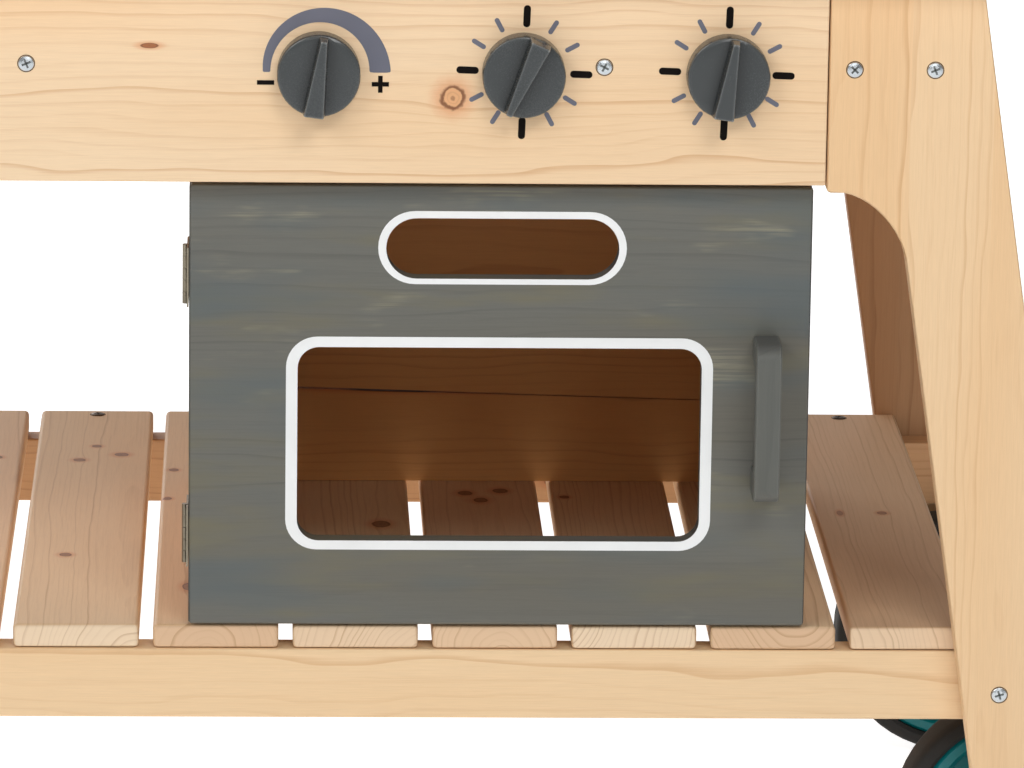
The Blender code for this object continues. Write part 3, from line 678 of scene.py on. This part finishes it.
# twelve ticks round each of the two right knobs, every third one black and bold, printed a little askew
DIAL_Z = 522.4
TICK_TILT = -1.9
black_spots, grey_spots = [], []
for dial_x in (167.5, 278.2):
    for hour in range(12):
        angle = math.radians(30 * hour + TICK_TILT)
        spots, inner_end = (black_spots, 25.0) if hour % 3 == 0 else (grey_spots, 25.2)
        x, z = dial_x + inner_end * math.cos(angle), DIAL_Z + inner_end * math.sin(angle)
        spots.append(((x * MM, fascia_face, z * MM), (0.0, -angle, 0.0)))
scatter("dial_ticks_black", capsule(12.2, 3.9), black_spots, "frame", black_ink)
scatter("dial_ticks_grey", capsule(8.6, 2.6), grey_spots, "frame", grey_ink)

# the gauge round the left knob: a crescent that widens clockwise, with a minus and a plus below its ends
GAUGE_X, GAUGE_R = 55.9, 27.0
THIN, THICK, STEPS = 4.2, 11.6, 48
ROUNDED_END = (0.98, 0.1), (0.90, 0.5), (0.6, 0.75), (-0.6, 0.75), (-0.90, 0.5), (-0.98, 0.1)
inner, outer = [], []
for i in range(STEPS + 1):
    t = i / STEPS
    angle = math.radians(178 - 177 * t)
    for points, radius in ((inner, GAUGE_R), (outer, GAUGE_R + THIN + (THICK - THIN) * t)):
        points.append((GAUGE_X + radius * math.cos(angle), DIAL_Z + radius * math.sin(angle)))
right_end = [(GAUGE_X + GAUGE_R + THICK / 2 * (1 + x), DIAL_Z - drop) for x, drop in ROUNDED_END]
left_end = [(GAUGE_X - GAUGE_R - THIN / 2 * (1 - x), DIAL_Z - drop) for x, drop in ROUNDED_END]
crescent = [*outer, *right_end, *reversed(inner), *left_end]
piece("gauge_crescent", print_plates("gauge_crescent", [crescent], fascia_face), "frame", grey_ink)

ARM, HALF = 4.7, 1.25
minus = [(-ARM, -HALF), (ARM, -HALF), (ARM, HALF), (-ARM, HALF)]
plus = [(-ARM, -HALF), (-HALF, -HALF), (-HALF, -ARM), (HALF, -ARM), (HALF, -HALF), (ARM, -HALF), (ARM, HALF),
        (HALF, HALF), (HALF, ARM), (-HALF, ARM), (-HALF, HALF), (-ARM, HALF)]
signs = [[(x + dx, z + dz) for dx, dz in shape]
         for shape, x, z in ((minus, GAUGE_X - 29.6, DIAL_Z - 6.6), (plus, GAUGE_X + 33.0, DIAL_Z - 7.2))]
piece("gauge_signs", print_plates("gauge_signs", signs, fascia_face), "frame", black_ink)

knob_grey = surface("knob_plastic", rgb(60, 64, 65), 0.26, grain=0.05, scale=1800, bump=0.08)
# the knobs' lightened edges are a painted highlight and their darkened inner corners painted shade
edge_wear_highlight_and_shade(knob_grey, rgb(158, 162, 162), 0.8, 0.9)
for part in ("knob_1", "knob_2", "knob_3"):
    dress(part, knob_grey, 38, bevel=0.4)

# ----------------------------------------------------------------------------------------------------------
# Worktop and splash board: boards glued from strips, rounded at the corners, with an opening for the basin.
# The same oiled spruce as the frame; two play burners are turned discs painted satin black.
# The worktop is screwed down from the rails below.
timber("worktop", "xyz", *SPRUCE, seed=31, strip=74.0, ring=3.2, wander=10.0, contrast=0.6)
timber("splash_board", "xzy", *SPRUCE, seed=33, strip=50.0, ring=3.2, wander=10.0, contrast=0.6)
satin_black = surface("burner_paint", rgb(40, 40, 42), 0.42, grain=0.1, scale=700, bump=0.3)
for part in ("burner_large", "burner_small"):
    dress(part, satin_black, 35)

# ----------------------------------------------------------------------------------------------------------
# Basin and tap: a pressed steel bowl that lifts out by its flange, and a small pillar tap behind it.
# Brushed stainless steel with marks along its length; the tap is bright chrome.
# The tap's spout and handle both turn on one spigot.
brushed = surface("brushed_steel", rgb(205, 206, 205), 0.33, metal=1.0, grain=0.06, scale=1500, bump=0.12,
                  stretch=(0.03, 1.0, 1.0))
chrome = surface("tap_chrome", rgb(226, 228, 230), 0.16, metal=1.0, grain=0.03, scale=500, bump=0.03)
dress("basin", brushed, 40)
for part in ("tap_column", "tap_spout", "tap_handle"):
    dress(part, chrome, 38)

# ----------------------------------------------------------------------------------------------------------
# Wheels: black rubber tyres on teal moulded rims, on one steel axle between the right-hand legs.
# Matt rubber with a fine grain; the rims are glossy plastic, the axle, spacers and collars zinc plated.
# Each wheel runs freely between a spacer and a collar; black caps close the axle's ends.
rubber = surface("tyre_rubber", rgb(30, 29, 28), 0.78, grain=0.15, scale=1100, bump=0.6)
teal = surface("rim_teal", rgb(0, 112, 118), 0.34, grain=0.06, scale=900, bump=0.1)
zinc = surface("zinc_plate", rgb(186, 188, 190), 0.36, metal=1.0, grain=0.1, scale=1300)
for end_name in ("front", "rear"):
    dress("tyre_" + end_name, rubber, 40)
    dress("rim_" + end_name, teal, 35)
    dress("axle_cap_" + end_name, black, 40)
    dress("axle_spacer_" + end_name, zinc, 35)
    dress("axle_collar_" + end_name, zinc, 35)
dress("axle", zinc, 35)

# ----------------------------------------------------------------------------------------------------------
# Lifting bar: a round spruce bar in two bored brackets on the end apron, away from the wheels.
# Oiled like the frame, its grain along the bar.
# The brackets are screwed through the apron and the bar is glued into them.
timber("carry_bar", "yxz", *SPRUCE, seed=61, heart=(-9.0, 14.0), ring=2.6, wander=5.0)
for index, end_name in enumerate(("front", "rear")):
    timber("bar_bracket_" + end_name, "xzy", *SPRUCE, seed=63 + index, heart=(40.0, 40.0))

# ----------------------------------------------------------------------------------------------------------
# Screws: zinc plated heads with a cross recess, each with a thin dark ring round it, painted shadow of its
# countersink; the bright heads' recesses hold painted shade.
# Bright on the fascia and the legs, browned on the slats' back ends.
# One pair through each leg head, three along the fascia, pairs low on the legs, one at each slat's back end.
SIDES = 32
HEAD_R, HEAD_RISE = 4.2, 0.85


def circle(bm, radius, z):
    """A level ring of vertices round local Z."""
    angles = (2 * math.pi * i / SIDES for i in range(SIDES))
    return [bm.verts.new((radius * math.cos(a), radius * math.sin(a), z)) for a in angles]


def screw_head():
    """A shallow domed head with a tapered cross cut into it, facing local +Z."""
    bm = bmesh.new()
    profile = (HEAD_R, -0.3), (HEAD_R, 0.3), (HEAD_R * 0.92, 0.55), (HEAD_R * 0.6, HEAD_RISE)
    rings = [circle(bm, r, z) for r, z in profile]
    top = bm.verts.new((0, 0, HEAD_RISE + 0.08))
    bm.faces.new(reversed(rings[0]))
    skin(bm, rings)
    for i in range(SIDES):
        bm.faces.new((rings[-1][i], rings[-1][(i + 1) % SIDES], top))
    head = bpy.data.objects.new("screw_head", mesh_of(bm, "screw_head"))
    bpy.context.scene.collection.objects.link(head)
    cutters = []
    for turn in (0, 90):
        bm = bmesh.new()
        bmesh.ops.create_cube(bm, size=1)
        for vert in bm.verts:
            wide = 1.0 if vert.co.z > 0 else 0.8
            vert.co.x *= HEAD_R * 1.3 * wide
            vert.co.y *= 1.25 * wide
            vert.co.z = 1.2 if vert.co.z > 0 else 0.08
        spin = Matrix.Rotation(math.radians(turn), 3, "Z")
        bmesh.ops.rotate(bm, verts=bm.verts, cent=(0, 0, 0), matrix=spin)
        cutter = bpy.data.objects.new("cross", mesh_of(bm, "cross"))
        bpy.context.scene.collection.objects.link(cutter)
        cut = head.modifiers.new("cross", "BOOLEAN")
        cut.object = cutter
        cut.solver = "EXACT"
        cutters.append(cutter)
    bpy.context.view_layer.update()
    graph = bpy.context.evaluated_depsgraph_get()
    mesh = bpy.data.meshes.new_from_object(head.evaluated_get(graph))
    mesh.transform(Matrix.Scale(MM, 4))
    for made in [head, *cutters]:
        bpy.data.objects.remove(made)
    return mesh


def recess_shade_cross(span, width):
    """A flat cross near the bottom of the recess, coloured darker than the head as painted shade of its
    walls.
    """
    bm = bmesh.new()
    for length, breadth in ((span, width), (width, span)):
        bm.faces.new([bm.verts.new((x * length / 2 * MM, y * breadth / 2 * MM, 0.13 * MM))
                      for x, y in ((1, 1), (-1, 1), (-1, -1), (1, -1))])
    return mesh_of(bm, "recess_shade_cross")


def shadow_ring(inner_r, outer_r, rise):
    """A flat thin ring facing local +Z."""
    bm = bmesh.new()
    profile = (inner_r, 0.0), (inner_r, rise), (outer_r, rise), (outer_r, 0.0)
    rings = [circle(bm, r * MM, z * MM) for r, z in profile]
    skin(bm, [*rings, rings[0]])
    bmesh.ops.recalc_face_normals(bm, faces=bm.faces)
    return mesh_of(bm, "countersink")


TO_FRONT, TO_BACK, UPWARD = (math.pi / 2, 0.0, 0.0), (-math.pi / 2, 0.0, 0.0), (0.0, 0.0, 0.0)
HEAD_SCREW_Z, LOW_SCREW_Z = 0.525, 0.170
rear_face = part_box("leg_rear_right")[1].y
slat_back, slat_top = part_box("shelf_slat_01")[1].yz
bright = [((x * MM, fascia_face, 0.5255), TO_FRONT) for x in (-296.0, -104.0, 211.2)]
for side in (-1, 1):
    for x, z in ((348.3, HEAD_SCREW_Z), (392.5, HEAD_SCREW_Z), (438.0, LOW_SCREW_Z), (460.0, LOW_SCREW_Z)):
        bright.append(((side * x * MM, fascia_face, z), TO_FRONT))
        bright.append(((side * x * MM, rear_face, z), TO_BACK))
browned = []
for index in range(11):
    x = -390.0 + 78.0 * index + 1.5 * math.sin(index * 2.3)
    browned.append(((x * MM, slat_back - 11.5 * MM, slat_top), UPWARD))
zinc_screw = surface("screw_zinc", rgb(206, 212, 216), 0.26, metal=1.0, grain=0.12, scale=2200, bump=0.2)
dark_screw = surface("screw_browned", rgb(92, 76, 62), 0.45, metal=0.8, grain=0.2, scale=2200, bump=0.2)
# a darker zinc for the recess floors as painted shade
recess_painted_shade = surface("recess_painted_shade", rgb(122, 126, 124), 0.5, metal=0.7, grain=0.2, scale=2200)
painted_sink_shadow = surface("countersink_shadow", rgb(70, 48, 30), 0.9, grain=0.1, scale=900)
domed = screw_head()
scatter("frame_screws", domed, bright, "frame", zinc_screw, spin=math.pi, seed=4)
scatter("screw_recesses", recess_shade_cross(5.0, 0.95), bright, "frame", recess_painted_shade,
        spin=math.pi, seed=4)
scatter("slat_screws", domed, browned, "frame", dark_screw, spin=math.pi, seed=9)
# a thin dark ring round every head, painted shadow of its countersink
scatter("screw_countersinks", shadow_ring(4.35, 4.85, 0.05), bright + browned, "frame", painted_sink_shadow)

# ----------------------------------------------------------------------------------------------------------
# Stage: a plain white paper floor, a white surround, and broad soft lights in front and low behind.
# The camera is a long lens four metres off and above the worktop, tipped down and turned slightly right.
scene = bpy.context.scene
bm = bmesh.new()
bmesh.ops.create_grid(bm, x_segments=1, y_segments=1, size=40)
bmesh.ops.translate(bm, verts=bm.verts, vec=(0, 0, -0.5 * MM))
floor = bpy.data.objects.new("floor", mesh_of(bm, "floor"))
scene.collection.objects.link(floor)
paper = surface("floor_paper", rgb(250, 250, 250), 0.9, grain=0.01, scale=60, bump=0.02)

# the paper and the surround both look brighter to the camera than the light they give
GLOW, GLOW_SEEN, AMBIENT = 0.44, 0.3, 0.13


def brighter_seen(tree, strength, base, extra):
    seen = tree.nodes.new("ShaderNodeLightPath").outputs["Is Camera Ray"]
    put(tree, strength, calc(tree, "ADD", calc(tree, "MULTIPLY", seen, extra), base))


glow = paper.node_tree.nodes["Principled BSDF"]
glow.inputs["Emission Color"].default_value = (1, 1, 1, 1)
brighter_seen(paper.node_tree, glow.inputs["Emission Strength"], GLOW, GLOW_SEEN)
floor.data.materials.append(paper)
world = bpy.data.worlds.new("studio")
scene.world = world
world.use_nodes = True
surround = world.node_tree.nodes["Background"]
surround.inputs["Color"].default_value = (1, 1, 1, 1)
brighter_seen(world.node_tree, surround.inputs["Strength"], AMBIENT, 1.0 - AMBIENT)


def area_light(name, place, target, size, power):
    data = bpy.data.lights.new(name, "AREA")
    data.shape = "RECTANGLE"
    data.size, data.size_y = size
    data.energy = power
    obj = bpy.data.objects.new(name, data)
    obj.location = place
    obj.rotation_euler = (Vector(target) - Vector(place)).to_track_quat("-Z", "Y").to_euler()
    scene.collection.objects.link(obj)


FACE_OF_DOOR = (0.0, -0.1, 0.35)
SHELF = (-0.2, 0.2, 0.2)
area_light("key_right", (0.9, -2.9, 2.7), FACE_OF_DOOR, (1.6, 1.0), 40)
area_light("key_left", (-1.6, -2.6, 2.2), FACE_OF_DOOR, (1.6, 1.2), 29)
area_light("front_fill", (0.3, -3.6, 1.3), FACE_OF_DOOR, (1.6, 1.2), 11)
area_light("sweep_left", (-1.5, 2.6, 1.1), SHELF, (2.4, 1.4), 48)
area_light("sweep_right", (0.5, 2.9, 1.0), SHELF, (2.4, 1.2), 7)

camera_data = bpy.data.cameras.new("camera")
camera = bpy.data.objects.new("camera", camera_data)
scene.collection.objects.link(camera)
scene.camera = camera
camera_data.sensor_width = 36.0
camera_data.lens = 242.1
camera_data.clip_end = 60.0
CAMERA_AT = Vector((0.025, -3.9655, 1.228))
yaw, pitch, roll = (math.radians(a) for a in (2.14, 13.4, 0.78))
level = Vector((math.cos(yaw), -math.sin(yaw), 0))
ahead = Vector((math.sin(yaw), math.cos(yaw), 0))
forward = ahead * math.cos(pitch) - Vector((0, 0, math.sin(pitch)))
above = ahead * math.sin(pitch) + Vector((0, 0, math.cos(pitch)))
right = level * math.cos(roll) + above * math.sin(roll)
up = above * math.cos(roll) - level * math.sin(roll)
facing = Matrix((right, up, -forward)).transposed()
camera.matrix_world = Matrix.Translation(CAMERA_AT) @ facing.to_4x4()
scene.view_settings.view_transform = "Standard"
scene.view_settings.look = "None"
